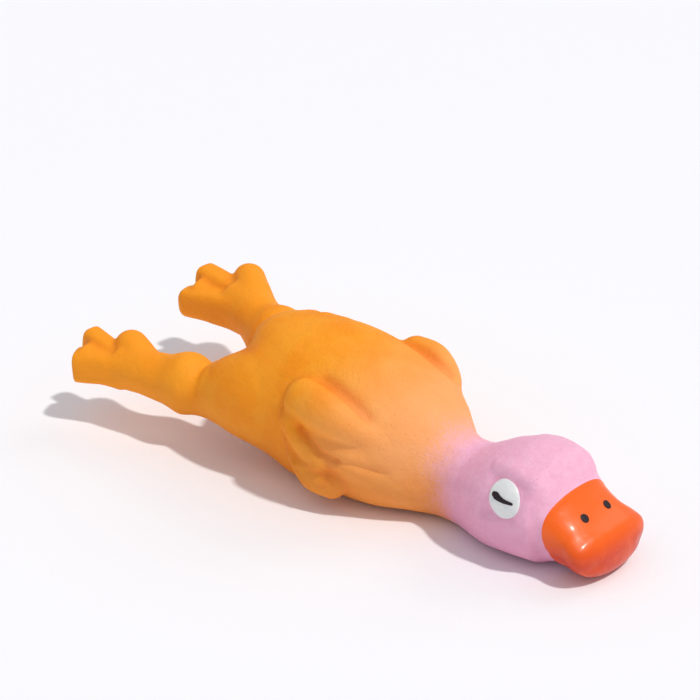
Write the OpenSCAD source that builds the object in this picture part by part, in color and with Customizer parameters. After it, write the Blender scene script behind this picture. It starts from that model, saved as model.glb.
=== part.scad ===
// Stuffed latex squeaky bird toy lying on its belly: +X is the bill, +Y its left side, +Z up.
// The origin is on the floor under the middle of the toy.

/* [Skin] */
// Thickness of the moulded latex skin
wall = 1.8; // [1.5:0.1:2.2]
// Clearance round the panel of the back that is pressed in
panel_gap = 0.3; // [0.3:0.1:0.6]
// Height that the painted eyes and nostrils stand proud
relief = 0.8; // [0.5:0.1:1.0]

/* [Back panel] */
// Half length of the pressed panel
panel_rx = 20; // [16:1:21]
// Half width of the pressed panel
panel_ry = 13; // [11:1:14]

/* [Squeaker] */
// Outer radius of the bladder
bladder_r = 14; // [12:0.5:15]
// Folds in the bladder's wall
folds = 4; // [3:1:5]
// Radius of the vent in the belly patch
vent_r = 1.5; // [1:0.1:2]
// Outer radius of the reed tube
tube_r = 4.5; // [4:0.1:5]
// Bore radius of the reed tube
tube_bore_r = 2.6; // [2.2:0.1:3]

/* [Hidden] */

orange = [1.0, 0.62, 0.2];
foot_orange = [0.95, 0.5, 0.14];
pink = [0.93, 0.66, 0.76];
bill_orange = [0.98, 0.35, 0.1];
cut_latex = [0.96, 0.7, 0.35];

LEFT = 1;
RIGHT = -1;
SIDES = 28;    // points round a ring of skin
STEP = 3.5;    // largest spacing of the rings along X

// Trunk of the toy, rump to bill root: x, centre height, half width, height above, depth below
TRUNK = [
  [-37, 25, 10, 8, 9], [-35, 25, 14, 12, 13], [-31, 24.5, 18.5, 16, 19], [-22, 24, 22, 19, 23],
  [-8, 23, 24, 20, 24], [8, 22, 24, 19, 23.2], [20, 20, 22.5, 17, 20.5], [28, 18, 18.5, 15.2, 17.5],
  [34, 16, 14, 13.2, 15.5], [38, 14.7, 11.5, 11.5, 14.2], [42, 14.3, 10.8, 10.5, 13.9],
  [47, 14.7, 11.6, 11, 14], [52, 15.7, 13.6, 13, 15], [58, 16.6, 15.6, 14.8, 16],
  [66, 17, 16.3, 15.3, 16.5], [72, 16.3, 15.8, 13.6, 15.8], [76, 15, 15, 11.5, 14]
];
// Bill, root to tip, in the same columns
BILL = [
  [75, 15.4, 15.2, 12.2, 14.6], [76, 15, 14.8, 11, 13.8], [80, 13.5, 14.2, 8.6, 11.8],
  [84, 12, 13.8, 7, 10], [88, 11, 13.6, 5.8, 8.4], [91, 10.5, 12.4, 5, 7.2],
  [93, 10.3, 9.5, 4, 5.8], [94, 10.2, 5, 2.2, 3]
];
// Folded wing that stands out of the flank: x, y, z, half thickness, half height
WING = [
  [-11, 21, 27, 1, 3], [-8, 22.5, 26.5, 5, 8], [-2, 23.5, 24.5, 7, 12], [6, 23.5, 20.5, 7.3, 13],
  [15, 21.5, 16, 6, 10.5], [20, 19, 14, 3, 6], [22, 18, 13.5, 1, 2]
];
// Leg, thigh to ankle: x, y, z, half width, half height, extra height of the left leg
LEG = [
  [-72, 24, 19.5, 7, 6.8, 3.4], [-68, 23.2, 19.5, 7, 7, 3.2], [-62, 22.2, 19.2, 7.3, 7.8, 2.8],
  [-56, 20.8, 19, 8.6, 9, 2.4], [-50, 19.3, 18.6, 8.6, 9, 2.2], [-43, 17.3, 19, 9.2, 10.2, 1.8],
  [-36, 15.2, 19.5, 11, 12, 1], [-28, 12.5, 20.5, 10.5, 12.5, 0], [-20, 9.5, 21, 9, 11, 0]
];
ROUND = 2.15;      // exponent of the trunk's rings: 2 is an ellipse, more is squarer
BILL_ROUND = 2.5;  // the bill is squarer

// Planes where the skin flexes: each pair holds one soft band
NECK_BAND = [35, 41];
HEAD_BAND = [46, 52];
HIP_BAND = [-46, -40];
ANKLE_BAND = [-69, -63];
LEG_ROOT = -20;
BILL_ROOT = 75;
BILL_TIP = 94;
RUMP = -37;
STUFF_GAP = 0.6;   // air between the skin and what is packed in it
DAB_GAP = 0.02;    // paint starts this far off the skin

// Feet: the pit where the toes meet, the toes' ends from it, and their radii
LEFT_PIT = [-75, 26.5, 24.5];
LEFT_TOES = [[-8, -9, -3], [-14, 1, 1.5], [-1, 6, 4]];
RIGHT_PIT = [-75, -25, 20];
RIGHT_TOES = [[-6, -7.9, -1.5], [-10, 0.5, 1.5], [1, 6.5, 3]];
LEFT_TOE_R = 5;
RIGHT_TOE_R = 4.6;
TOE_ROOT = 1.15;   // a toe's root is this much thicker than its end
TOE_ROOT_X = 3;    // and this far in front of the pit
TOE_FN = 24;
WEB_REACH = 0.85;  // how far the web runs along the toes, and its thickness

// Eye: centre of its outline on the side of the head, half sizes and tilt
EYE_X = 65;
EYE_Z = 21.5;
EYE_RX = 4.6;
EYE_RZ = 5.4;
EYE_TILT = 12;
PUPIL_R = 0.9;
PUPIL_LONG = 5.2;
NOSTRIL_X = 84;
NOSTRIL_Y = 5;
NOSTRIL_R = 1.1;

// Squeaker: heights of its flat faces, over the vent
SQ_X = 2;
BASE_Z = [9, 12];
CROWN_Z = [30, 32.5];
BLADDER_WALL = 1;
TUBE_Z = [6, 14];
CAVITY_R = 17;
CAVITY_Z = [4, 36];
PATCH_R = 7;
PATCH_T = 1.8;
REED_T = 0.3;
REED_W = 4;

// ---- rings and lofts ----

// Catmull-Rom curve through four stations
function curve(a, b, c, d, t) =
  0.5 * (2 * b + (c - a) * t + (2 * a - 5 * b + 4 * c - d) * t * t + (3 * b - a - 3 * c + d) * t * t * t);

// Number of the stretch of the list that x lies in
function stretch(list, x, i = 0) =
  i >= len(list) - 2 || x < list[i + 1][0] ? i : stretch(list, x, i + 1);

// The station at x
function station(list, x) =
  let (
    i = stretch(list, x),
    last = len(list) - 1,
    b = list[i],
    c = list[i + 1],
    t = (x - b[0]) / (c[0] - b[0]),
    s = curve(list[max(i - 1, 0)], b, c, list[min(i + 2, last)], t)
  ) [for (k = [0:len(s) - 1]) k == 0 ? x : s[k]];

function stations(list, x0, x1) =
  let (n = max(1, ceil((x1 - x0) / STEP))) [for (i = [0:n]) station(list, x0 + (x1 - x0) * i / n)];

function power(v, n) = sign(v) * pow(abs(v), 2 / n);

// One ring of the trunk, grown outwards by grow and never below the floor
function trunk_ring(s, grow, n, floor_z) =
  [for (i = [0:SIDES - 1])
    let (a = 360 * i / SIDES, r = sin(a) < 0 ? s[4] : s[3])
    [s[0], (s[2] + grow) * power(cos(a), n), max(floor_z, s[1] + (r + grow) * power(sin(a), n))]];

function limb_ring(s, side, grow) =
  [for (i = [0:SIDES - 1])
    let (a = 360 * i / SIDES, lift = len(s) > 5 && side == LEFT ? s[5] : 0)
    [s[0], side * s[1] + (s[3] + grow) * cos(a), s[2] + lift + (s[4] + grow) * sin(a)]];

// Closed solid through rings that stand at rising x
module skin_loft(rings) {
  last = (len(rings) - 1) * SIDES;
  points = [for (r = rings) each r];
  walls = [for (j = [0:SIDES:last - 1], i = [0:SIDES - 1])
    let (a = j + i, b = j + (i + 1) % SIDES)
    each [[a, a + SIDES, b], [b, a + SIDES, b + SIDES]]];
  first_cap = [for (i = [0:SIDES - 1]) i];
  last_cap = [for (i = [SIDES - 1:-1:0]) last + i];
  polyhedron(points, concat(walls, [first_cap, last_cap]));
}

module trunk(x0, x1, grow = 0) {
  skin_loft([for (s = stations(TRUNK, x0, x1)) trunk_ring(s, grow, ROUND, -min(grow, 0))]);
}

module bill(x0, x1, grow = 0) {
  skin_loft([for (s = stations(BILL, x0, x1)) trunk_ring(s, grow, BILL_ROUND, 0)]);
}

module leg(side, x0, x1, grow = 0) {
  skin_loft([for (s = stations(LEG, x0, x1)) limb_ring(s, side, grow)]);
}

module wing(side) {
  skin_loft([for (s = stations(WING, WING[0][0], WING[len(WING) - 1][0])) limb_ring(s, side, 0)]);
}

// A hollow band of trunk between two planes, open at both ends
module trunk_band(x0, x1) {
  difference() {
    trunk(x0, x1);
    trunk(x0 - 1, x1 + 1, -wall);
  }
}

module leg_band(side, x0, x1) {
  difference() {
    leg(side, x0, x1);
    leg(side, x0 - 1, x1 + 1, -wall);
  }
}

// ---- torso ----

module panel_prism(gap) {
  translate([-2, 0, 30])
    linear_extrude(20)
      scale([(panel_rx + gap) / (panel_ry + gap), 1])
        circle(panel_ry + gap, $fn = 72);
}

module torso_shell() {
  difference() {
    union() {
      trunk(RUMP, NECK_BAND[0]);
      for (side = [LEFT, RIGHT]) {
        wing(side);
        leg(side, HIP_BAND[1], LEG_ROOT);
      }
    }
    trunk(RUMP + wall, NECK_BAND[0] + 1, -wall);
    for (side = [LEFT, RIGHT])
      leg(side, HIP_BAND[1] - 1, LEG_ROOT, -wall);
  }
}

module torso_skin() {
  color(orange)
    difference() {
      torso_shell();
      panel_prism(panel_gap);
      translate([SQ_X, 0, -1])
        cylinder(h = PATCH_T + 3, r = PATCH_R, $fn = 64);
    }
}

module back_panel() {
  color(orange)
    intersection() {
      difference() {
        trunk(RUMP, NECK_BAND[0]);
        trunk(RUMP + wall, NECK_BAND[0] + 1, -wall);
      }
      panel_prism(0);
    }
}

module belly_patch() {
  color(cut_latex)
    translate([SQ_X, 0, 0])
      difference() {
        cylinder(h = PATCH_T, r = PATCH_R, $fn = 64);
        translate([0, 0, -1])
          cylinder(h = PATCH_T + 2, r = vent_r, $fn = 32);
      }
}

module torso_stuffing() {
  color("white")
    difference() {
      trunk(RUMP + wall + 2, NECK_BAND[0] - 1, -wall - STUFF_GAP);
      translate([SQ_X, 0, CAVITY_Z[0]])
        cylinder(h = CAVITY_Z[1] - CAVITY_Z[0], r = CAVITY_R, $fn = 64);
      translate([SQ_X, 0, -1])
        cylinder(h = CAVITY_Z[0] + 2, r = PATCH_R + 1, $fn = 48);
    }
}

// ---- squeaker ----

module squeaker_base() {
  color("ivory")
    translate([SQ_X, 0, BASE_Z[0]])
      difference() {
        cylinder(h = BASE_Z[1] - BASE_Z[0], r = bladder_r, $fn = 64);
        translate([0, 0, -1])
          cylinder(h = BASE_Z[1] - BASE_Z[0] + 2, r = tube_r, $fn = 48);
      }
}

// Zigzag wall from the base to the crown
module squeaker_bellows() {
  bottom = BASE_Z[1];
  pitch = (CROWN_Z[0] - bottom) / (2 * folds);
  outer = [for (i = [0:2 * folds]) [bladder_r - (i % 2) * 3, bottom + i * pitch]];
  inner = [for (i = [2 * folds:-1:0]) [bladder_r - (i % 2) * 3 - BLADDER_WALL, bottom + i * pitch]];
  color("ivory")
    translate([SQ_X, 0, 0])
      rotate_extrude($fn = 64)
        polygon(concat(outer, inner));
}

module squeaker_crown() {
  color("ivory")
    translate([SQ_X, 0, CROWN_Z[0]]) {
      cylinder(h = CROWN_Z[1] - CROWN_Z[0], r = bladder_r, $fn = 64);
      translate([0, 0, CROWN_Z[1] - CROWN_Z[0]])
        cylinder(h = 1, r = bladder_r / 2, $fn = 48);
    }
}

module reed_tube() {
  color("gainsboro")
    translate([SQ_X, 0, TUBE_Z[0]])
      difference() {
        union() {
          cylinder(h = TUBE_Z[1] - TUBE_Z[0], r = tube_r, $fn = 48);
          cylinder(h = BASE_Z[0] - TUBE_Z[0], r = tube_r + 2, $fn = 48);
        }
        translate([0, 0, -1])
          cylinder(h = TUBE_Z[1] - TUBE_Z[0] + 2, r = tube_bore_r, $fn = 48);
      }
}

// Half-round plug that clamps the root of the reed in the tube's bore
module reed_wedge() {
  color("silver")
    translate([SQ_X, 0, TUBE_Z[0]])
      intersection() {
        cylinder(h = TUBE_Z[1] - TUBE_Z[0] - 2, r = tube_bore_r, $fn = 48);
        translate([-tube_r, -2 * tube_r, -1])
          cube([2 * tube_r, 2 * tube_r, TUBE_Z[1] - TUBE_Z[0] + 2]);
      }
}

module reed() {
  color("dimgray")
    translate([SQ_X - REED_W / 2, 0, TUBE_Z[0] + 0.5])
      cube([REED_W, REED_T, TUBE_Z[1] - TUBE_Z[0] - 1.5]);
}

// ---- neck and head ----

module neck_flex() {
  color(orange)
    trunk_band(NECK_BAND[0], NECK_BAND[1]);
}

module neck_skin() {
  color(pink)
    trunk_band(NECK_BAND[1], HEAD_BAND[0]);
}

module head_flex() {
  color(pink)
    trunk_band(HEAD_BAND[0], HEAD_BAND[1]);
}

module head_skin() {
  color(pink)
    trunk_band(HEAD_BAND[1], BILL_ROOT);
}

module head_stuffing() {
  color("white")
    trunk(HEAD_BAND[1] + 2, BILL_ROOT, -wall - STUFF_GAP);
}

module bill_skin() {
  color(bill_orange)
    difference() {
      bill(BILL_ROOT, BILL_TIP);
      bill(BILL_ROOT - 1, BILL_TIP - wall, -wall);
    }
}

// Skin of paint that stands proud of the head, inside an outline drawn on its side
module head_dab(side) {
  intersection() {
    difference() {
      trunk(HEAD_BAND[1], BILL_ROOT, relief);
      trunk(HEAD_BAND[1], BILL_ROOT, DAB_GAP);
    }
    translate([EYE_X, 0, EYE_Z])
      rotate([90, EYE_TILT, 0])
        mirror([0, 0, side == LEFT ? 1 : 0])
          linear_extrude(30)
            children();
  }
}

module pupil_outline() {
  hull() {
    translate([-PUPIL_LONG / 2, 1])
      circle(PUPIL_R, $fn = 24);
    translate([PUPIL_LONG / 2, -1])
      circle(PUPIL_R / 3, $fn = 24);
  }
}

module eye_white(side) {
  color("white")
    head_dab(side)
      difference() {
        scale([EYE_RX / EYE_RZ, 1])
          circle(EYE_RZ, $fn = 48);
        pupil_outline();
      }
}

module pupil(side) {
  color([0.15, 0.08, 0.08])
    head_dab(side)
      pupil_outline();
}

module nostril(side) {
  color([0.25, 0.1, 0.06])
    intersection() {
      difference() {
        bill(BILL_ROOT, BILL_TIP, relief / 2);
        bill(BILL_ROOT, BILL_TIP, DAB_GAP);
      }
      translate([NOSTRIL_X, side * NOSTRIL_Y, 10])
        scale([1.5, 1, 1])
          cylinder(h = 20, r = NOSTRIL_R, $fn = 32);
    }
}

// ---- legs and feet ----

module toe(pit, reach, r) {
  hull() {
    translate(pit + [TOE_ROOT_X, 0, -1])
      sphere(r * TOE_ROOT, $fn = TOE_FN);
    translate(pit + reach)
      sphere(r, $fn = TOE_FN);
  }
}

// Web between the two toes that point backwards
module web(pit, toes, r) {
  hull() {
    translate(pit)
      sphere(r, $fn = TOE_FN);
    for (k = [0, 1])
      translate(pit + toes[k] * WEB_REACH)
        sphere(r * WEB_REACH, $fn = TOE_FN);
  }
}

// Solid foot, cut square where the ankle's soft band ends
module foot(side, pit, toes, toe_r) {
  color(foot_orange)
    union() {
      leg(side, LEG[0][0], ANKLE_BAND[0]);
      intersection() {
        union() {
          for (t = toes)
            toe(pit, t, toe_r);
          web(pit, toes, toe_r);
        }
        translate([ANKLE_BAND[0] - 60, -60, 0])
          cube([60, 120, 60]);
      }
    }
}

torso_skin();
back_panel();
belly_patch();
torso_stuffing();
squeaker_base();
squeaker_bellows();
squeaker_crown();
reed_tube();
reed_wedge();
reed();
neck_flex();
neck_skin();
head_flex();
head_skin();
head_stuffing();
bill_skin();
eye_white(LEFT);  // left_eye_white
eye_white(RIGHT);  // right_eye_white
pupil(LEFT);  // left_pupil
pupil(RIGHT);  // right_pupil
nostril(LEFT);  // left_nostril
nostril(RIGHT);  // right_nostril
color(orange) leg_band(LEFT, HIP_BAND[0], HIP_BAND[1]);  // left_hip_flex
color(orange) leg_band(RIGHT, HIP_BAND[0], HIP_BAND[1]);  // right_hip_flex
color(orange) leg_band(LEFT, ANKLE_BAND[1], HIP_BAND[0]);  // left_leg_skin
color(orange) leg_band(RIGHT, ANKLE_BAND[1], HIP_BAND[0]);  // right_leg_skin
color(orange) leg_band(LEFT, ANKLE_BAND[0], ANKLE_BAND[1]);  // left_ankle_flex
color(orange) leg_band(RIGHT, ANKLE_BAND[0], ANKLE_BAND[1]);  // right_ankle_flex
foot(LEFT, LEFT_PIT, LEFT_TOES, LEFT_TOE_R);  // left_foot
foot(RIGHT, RIGHT_PIT, RIGHT_TOES, RIGHT_TOE_R);  // right_foot
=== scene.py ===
import functools
import math

import bmesh
import bpy
import numpy as np
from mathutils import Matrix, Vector, noise
from mathutils.bvhtree import BVHTree


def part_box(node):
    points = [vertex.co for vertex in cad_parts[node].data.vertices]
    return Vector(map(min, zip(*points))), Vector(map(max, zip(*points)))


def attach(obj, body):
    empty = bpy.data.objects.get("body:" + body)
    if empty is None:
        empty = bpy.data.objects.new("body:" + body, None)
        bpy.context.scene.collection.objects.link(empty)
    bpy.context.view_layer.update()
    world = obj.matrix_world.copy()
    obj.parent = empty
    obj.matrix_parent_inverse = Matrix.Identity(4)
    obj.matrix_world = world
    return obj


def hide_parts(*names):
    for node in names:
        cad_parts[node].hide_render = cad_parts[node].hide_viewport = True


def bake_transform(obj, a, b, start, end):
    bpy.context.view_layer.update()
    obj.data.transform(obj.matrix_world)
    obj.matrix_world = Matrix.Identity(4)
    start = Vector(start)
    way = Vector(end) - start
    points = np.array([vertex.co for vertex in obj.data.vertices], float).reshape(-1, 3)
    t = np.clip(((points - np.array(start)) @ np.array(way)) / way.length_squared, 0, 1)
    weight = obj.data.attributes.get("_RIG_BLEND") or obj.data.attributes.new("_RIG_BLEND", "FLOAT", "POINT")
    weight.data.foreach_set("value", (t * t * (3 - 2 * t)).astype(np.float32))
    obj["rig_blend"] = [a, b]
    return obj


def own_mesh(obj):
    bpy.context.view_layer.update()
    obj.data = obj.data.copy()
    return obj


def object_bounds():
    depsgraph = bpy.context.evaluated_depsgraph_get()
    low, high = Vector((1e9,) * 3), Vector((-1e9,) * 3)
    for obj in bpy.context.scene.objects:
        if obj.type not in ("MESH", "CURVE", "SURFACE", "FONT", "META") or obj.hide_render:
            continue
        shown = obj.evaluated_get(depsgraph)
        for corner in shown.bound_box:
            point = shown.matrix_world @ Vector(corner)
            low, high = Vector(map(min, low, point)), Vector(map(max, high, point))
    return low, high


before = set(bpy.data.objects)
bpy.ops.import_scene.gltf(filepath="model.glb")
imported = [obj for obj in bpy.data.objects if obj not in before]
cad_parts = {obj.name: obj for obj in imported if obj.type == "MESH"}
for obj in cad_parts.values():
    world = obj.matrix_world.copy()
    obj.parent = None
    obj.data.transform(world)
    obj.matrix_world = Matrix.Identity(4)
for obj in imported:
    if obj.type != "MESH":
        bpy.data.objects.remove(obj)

bl_info = {
    "name": "Squeaky Latex Bird",
    "version": (1, 0, 0),
    "blender": (4, 5, 0),
    "location": "3D View > Sidebar > Squeaky Bird",
    "description": "Builds the skin, paint, squeaker and stuffing of a latex squeaky bird",
    "category": "Add Mesh",
}

CAD_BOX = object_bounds()
MM = 0.001
LEFT = 1
RIGHT = -1
SIDE_NAMES = {LEFT: "left", RIGHT: "right"}

# ---------------------------------------------------------------- the moulding's shape
# Lengths in this part are millimetres: +X is the bill, +Y the bird's left, +Z up.

# Trunk, rump to forehead: x, centre height, half width, height above, depth below
TRUNK = [
    (-35.5, 31.5, 6.5, 6.5, 8), (-33, 30, 10.6, 10.2, 12.5), (-29, 27.5, 15, 14.6, 17.5),
    (-22, 24.5, 20.6, 18.5, 22.6),
    (-8, 23, 24.6, 20, 24), (8, 22, 24, 19, 23.2), (20, 20, 22.5, 17, 20.5), (28, 18, 18.5, 15.2, 17.5),
    (34, 16, 14, 13.2, 15.5), (38, 14.7, 11.5, 11.5, 14.2), (42, 14.3, 10.9, 10.5, 13.9),
    (47, 14.7, 11.9, 10.1, 14.2), (52, 15.7, 14, 11.6, 15.4), (58, 16.6, 15.9, 13.9, 16.5),
    (66, 17, 16.6, 15.7, 16.7), (73.5, 16.6, 16.2, 15.3, 16.2),
]
TRUNK_CAPS = (1.6, 5.5)
# Bill, inside the head to the front edge, in the same columns
BILL = [
    (68, 15.5, 14, 11, 13.5), (76, 15, 14.6, 10.6, 13.8), (80, 13.5, 13.8, 8.7, 12.1),
    (84, 12, 13.8, 6.6, 10.8), (86.8, 10.9, 14.9, 5.5, 9.8), (88.7, 10.1, 15.3, 5, 9),
]
BILL_CAPS = (3, 5.2)
HEAD_TURN = {"from": 42, "to": 94, "reach": 4.2}   # how far the bill is turned to the left
# Leg, thigh to ankle: x, y, z, half width, half height, extra height of the left leg
LEG = [
    (-24, 14, 22, 10, 12, 0), (-33, 16, 20.3, 10, 11.6, 0.8), (-39, 17, 19, 8.9, 9.8, 1.4),
    (-44, 17.8, 18.2, 7.9, 8.2, 1.5), (-50.5, 19.3, 18.8, 9, 9.8, 1.5), (-57, 21, 18.8, 7.4, 7.8, 2.4),
    (-62, 22.4, 19.1, 6.9, 7.2, 3.4), (-68, 23.5, 19.3, 6.8, 7, 3.8), (-73, 24.3, 19.4, 6.4, 6.6, 4.2),
]
# Wing lobes as on the left side, each a path of x, y, z and two radii, sideways and upright
WING_LOBES = {
    "upper_arm": [
        (-0.5, 21.3, 30.5, 6, 7), (8, 22, 30, 5.5, 6.8), (17, 20.2, 27.5, 4.5, 5), (24, 17, 24.5, 2, 2.5),
    ],
    "forearm": [(-2, 23.4, 25, 4.6, 5), (2, 24, 20.5, 4.5, 4.5), (8, 23.8, 16.5, 4, 4)],
    "tip": [(0, 22.5, 14, 4.3, 4.8), (5, 23.2, 10.6, 5, 5.6), (11, 22.2, 9, 4.4, 5)],
    "blade": [(0.5, 22, 24, 4, 6), (8, 22.2, 20.5, 4.5, 6.5), (16, 20.5, 17, 4, 5)],
    "flap": [(-2.5, 23, 18, 3.3, 3.3), (0.5, 22.5, 11.5, 3.3, 4), (5, 20.5, 6.5, 3.2, 3.4)],
    "elbow": [(6, 19.5, 23.5, 4, 5), (13, 20.5, 20.5, 5, 6), (18, 20, 17.5, 4.6, 5.6), (22, 18, 15, 3, 4)],
    "palm": [(4, 22.4, 13.5, 3.6, 4.4), (9, 22.3, 11.8, 3.8, 4.4), (14, 20.3, 11, 3.4, 4)],
}
THIGH = {"centre": (-22.5, 16.6, 21.4), "radii": (15.5, 9.7, 13.8)}
# Feet: the pit where the toes meet, and each toe's end from it, its radii and how blunt it is
FOOT_PITS = {LEFT: (-76, 26, 26.3), RIGHT: (-75.5, -25, 21.5)}
TOES = {
    LEFT: {
        "outer": ((-10.5, -9, -4), (5, 6), 2.2), "middle": ((-12.5, 0.8, 0.6), (5, 5.5), 3.5),
        "inner": ((1.5, 5.9, 2.5), (5.3, 5.2), 2),
    },
    RIGHT: {
        "outer": ((-8.8, -7, -3), (4.4, 5.2), 5), "middle": ((-12, 1.2, 1.1), (3.4, 4.6), 2.8),
        "inner": ((1.4, 4.8, 2.3), (5.4, 5.2), 2),
    },
}
LEG_GIRTH = {LEFT: 1.1, RIGHT: 1}      # thickness of each leg beside the table
TOE_TAPER = {LEFT: 0.8, RIGHT: 1}      # size of a toe's tip beside its root
TOE_NOTCHES = {LEFT: (-11, -3.5, 1.5), RIGHT: (-9.5, -3.8, 0)}    # from the pit
OUTER_ROOT = {LEFT: (3, -4, -1), RIGHT: (0, 0, 0)}     # from where the toes meet the leg
LUMP_TAPER = {LEFT: 0.7, RIGHT: 1}     # size of the inner toe's tip beside its root
WING_FILLET = 1.7      # how softly the wing's lobes run into each other
WING_PLACE = {LEFT: (0.72, 5.2), RIGHT: (1, 0)}   # x is scaled and moved: the left wing is shorter
LUMP_ROOT = -3         # the lump over the ankle starts at this row of the leg
FOOT_THICK = 4.6       # half thickness of the web under the toes
EYE = {"centre": (67, 15, 21.7), "radii": (4.9, 5.5), "lean": 24}
NOSTRIL = {"centre": (85, 5, 17), "radii": (1.35, 1.25), "lean": 0}

VOXEL = 0.7            # spacing of the skin's vertices
FLOOR_BLEND = 1.0      # how softly the belly flattens on the floor

# Slit of the closed eye: place ahead and up from its middle, and half width
PUPIL = [(-3, 0.55, 0.85), (-2.3, 0.35, 1.1), (-1.1, -0.1, 0.85), (0.8, -0.4, 0.6), (3, -0.35, 0.4)]
FIBRE_SPACING = 1.3
FIBRE_LUMPS = ((9, 1.0), (3, 0.5))     # size and depth of the lumps
BELLOWS = {"folds": 4, "steps": 8, "depth": 3.0, "wall": 1.0, "sides": 72}

# Where each joint's bend starts and ends, between what follows one body and what follows the other
BACK_BLEND = (31, 44)
NECK_BLEND = (34.5, 41.5)
HEAD_BLEND = (45.5, 52.5)
HIP_BLEND = (-39.5, -46.5)
ANKLE_BLEND = (-62.5, -69.5)

# Stage, in metres and degrees
CAMERA = {"azimuth": 42, "elevation": 26, "distance": 0.69, "lens": 119.8, "sensor": 36,
          "aim": (-0.0115, 0.010, 0.0104)}
# Name, azimuth, elevation, spread, strength and tint
LIGHTS = [
    ("key", 102, 61, 3.5, 1.76, (1, 0.97, 0.93)),
    ("fill", -20, 50, 50, 0.1, (0.94, 0.96, 1)),
    ("back", 170, 40, 30, 0.28, (1, 0.98, 0.95)),
]
# Strength of the surround's light, and of the surround as it is seen behind the floor
SURROUND = {"colour": (0.93, 0.94, 1), "strength": 0.48, "seen": 0.95}
FLOOR = {"half_side": 6.0, "drop": 0.00005}

# Planes where the skin is divided into pieces, in the middle of what stays stiff
NECK_CUT = 33.0
HEAD_CUT = 43.5
BILL_CUT = 78.4        # the colour border at mid height, which bows forward above and below
BILL_BOW = 0.02
HIP_CUT = -39.0
ANKLE_CUT = -57.0


# ---------------------------------------------------------------- curves and closed tubes

def resample(rows, steps):
    """Smooth curve through the rows of a table, at evenly spaced steps."""
    rows = np.asarray(rows, float)
    t = np.linspace(0, len(rows) - 1, steps)
    i = np.minimum(t.astype(int), len(rows) - 2)
    a, b, c, d = (rows[np.clip(i + k, 0, len(rows) - 1)] for k in (-1, 0, 1, 2))
    t = (t - i)[:, None]
    return 0.5 * (2 * b + (c - a) * t + (2 * a - 5 * b + 4 * c - d) * t ** 2
                  + (3 * b - a - 3 * c + d) * t ** 3)


def superellipse(sides, squareness, below=None):
    """Unit outline: squareness 2 is a circle and more is squarer. The lower half may have its own."""
    a = np.linspace(0, 2 * np.pi, sides, endpoint=False)
    c, s = np.cos(a), np.sin(a)
    power = 2 / np.where(s < 0, below or squareness, squareness)
    return np.sign(c) * abs(c) ** power, np.sign(s) * abs(s) ** power


def capped(rings, caps, blunt=2.0, steps=8):
    """Closed tube through the rings, with a rounded cap of the given length at each end."""
    phi = np.linspace(0, np.pi / 2, steps + 1)[1:-1]
    reach, shrink = np.sin(phi) ** (2 / blunt), np.cos(phi) ** (2 / blunt)
    ends = []
    for ring, inner, length in ((rings[0], rings[1], caps[0]), (rings[-1], rings[-2], caps[1])):
        centre = ring.mean(0)
        out = centre - inner.mean(0)
        out *= length / np.linalg.norm(out)
        ends.append(([centre + (ring - centre) * s + out * r for r, s in zip(reach, shrink)], centre + out))
    (first, first_tip), (last, last_tip) = ends
    rings = np.array(first[::-1] + list(rings) + last)
    count, sides = rings.shape[:2]
    verts = np.vstack([rings.reshape(-1, 3), first_tip, last_tip])
    nxt = np.roll(np.arange(sides), -1)
    base = np.arange(count - 1)[:, None] * sides
    j = np.arange(sides)[None]
    quads = np.stack([base + j, base + nxt[None], base + sides + nxt[None], base + sides + j], -1)
    faces = [tuple(q) for q in quads.reshape(-1, 4)]
    end = (count - 1) * sides
    faces += [(nxt[k], k, len(verts) - 2) for k in range(sides)]
    faces += [(end + k, end + nxt[k], len(verts) - 1) for k in range(sides)]
    tetra = np.array([verts[list(f[:3])] for f in faces])
    if np.einsum("ij,ij->i", tetra[:, 0], np.cross(tetra[:, 1], tetra[:, 2])).sum() < 0:
        faces = [f[::-1] for f in faces]
    return verts, faces


def upright_tube(rows, caps, squareness, steps, sides=96, blunt=2.0, below=None):
    """Tube of upright rings: x, centre height, half width, height above, depth below."""
    rows = resample(rows, steps)
    c, s = superellipse(sides, squareness, below)
    rings = np.empty((len(rows), sides, 3))
    rings[:, :, 0] = rows[:, :1]
    rings[:, :, 1] = rows[:, 2:3] * c
    rings[:, :, 2] = rows[:, 1:2] + np.where(s > 0, rows[:, 3:4], rows[:, 4:5]) * s
    return capped(rings, caps, blunt)


def path_tube(rows, caps, squareness=2.0, steps=24, sides=40, blunt=2.0):
    """Tube round a path: x, y, z, half width sideways, half width upwards."""
    rows = resample(rows, steps)
    along = np.gradient(rows[:, :3], axis=0)
    along /= np.linalg.norm(along, axis=1)[:, None]
    across = np.cross(along, (0, 0, 1))
    across /= np.linalg.norm(across, axis=1)[:, None]
    up = np.cross(across, along)
    c, s = superellipse(sides, squareness)
    rings = (rows[:, None, :3] + across[:, None] * (rows[:, 3:4] * c)[..., None]
             + up[:, None] * (rows[:, 4:5] * s)[..., None])
    return capped(rings, caps, blunt)


def ellipsoid(centre, radii, steps=24, sides=48):
    """Closed ellipsoid."""
    t = np.linspace(-1, 1, steps)[1:-1]
    rows = [(centre[0] + radii[0] * math.sin(v), centre[2], *(r * math.cos(v) for r in
             (radii[1], radii[2], radii[2]))) for v in t * np.pi / 2 * 0.9]
    verts, faces = upright_tube(rows, (radii[0] * 0.012,) * 2, 2, steps, sides)
    verts[:, 1] += centre[1]
    return verts, faces


def mirrored(form, side):
    """The form on the other side, when side is the left."""
    verts, faces = form
    if side == RIGHT:
        return verts * (1, -1, 1), [f[::-1] for f in faces]
    return verts, faces


# ---------------------------------------------------------------- blending closed forms

FAR = 99.0


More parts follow.
